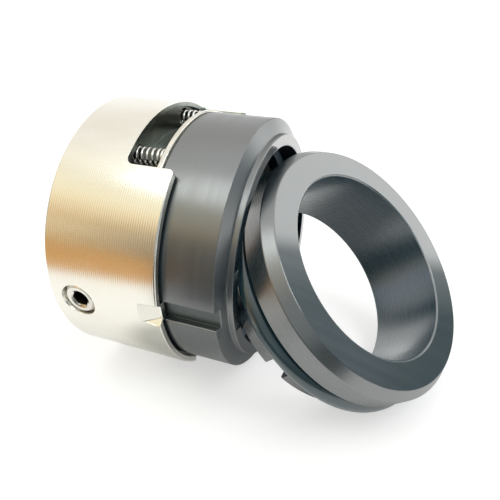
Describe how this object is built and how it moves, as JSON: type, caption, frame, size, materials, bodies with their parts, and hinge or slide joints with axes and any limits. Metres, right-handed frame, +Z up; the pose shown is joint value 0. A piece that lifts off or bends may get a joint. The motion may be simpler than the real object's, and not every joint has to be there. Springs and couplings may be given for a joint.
{
  "type": "component mechanical seal",
  "caption": "Mechanical shaft seal: a sprung rotary head with a steel retainer and dark face ring, and its loose stationary seat ring with a rubber ring.",
  "frame": {"origin": "on the shaft's axis, in the plane of the retainer's rear face", "axes": "+X along the head's axis towards its face ring, +Z up; the head lies on its shell and the seat leans against its front"},
  "size_m": [0.0842, 0.063, 0.0632],
  "materials": {
    "retainer_steel": "finely turned stainless steel, satin",
    "spring_steel": "bright drawn spring wire",
    "disc_steel": "bright punched stainless strip",
    "screw_steel": "stainless, fine thread",
    "ring_carbide": "ground silicon carbide with a lapped face",
    "seat_carbide": "ground silicon carbide with a lapped face",
    "shaft_rubber": "matte black fluoroelastomer",
    "seat_rubber": "slightly glossy black fluoroelastomer"
  },
  "bodies": {
    "head_and_seat": {"retainer": "retainer_steel", "spring_1": "spring_steel", "spring_2": "spring_steel", "spring_3": "spring_steel", "spring_4": "spring_steel", "spring_5": "spring_steel", "spring_6": "spring_steel", "spring_7": "spring_steel", "spring_8": "spring_steel", "set_screw_near": "screw_steel", "set_screw_far": "screw_steel", "seat": "seat_carbide", "seat_o_ring": "seat_rubber"},
    "floating_face": {"thrust_disc": "disc_steel", "face_ring": "ring_carbide", "shaft_o_ring": "shaft_rubber"}
  },
  "joints": [
    {"name": "face_float", "type": "slide", "parent": "head_and_seat", "child": "floating_face", "axis": [1, 0, 0], "range_m": [-0.0035, 0], "stiffness_N_per_m": 1500, "springref_m": 0.003, "deforming": ["spring_1", "spring_2", "spring_3", "spring_4", "spring_5", "spring_6", "spring_7", "spring_8"]}
  ]
}
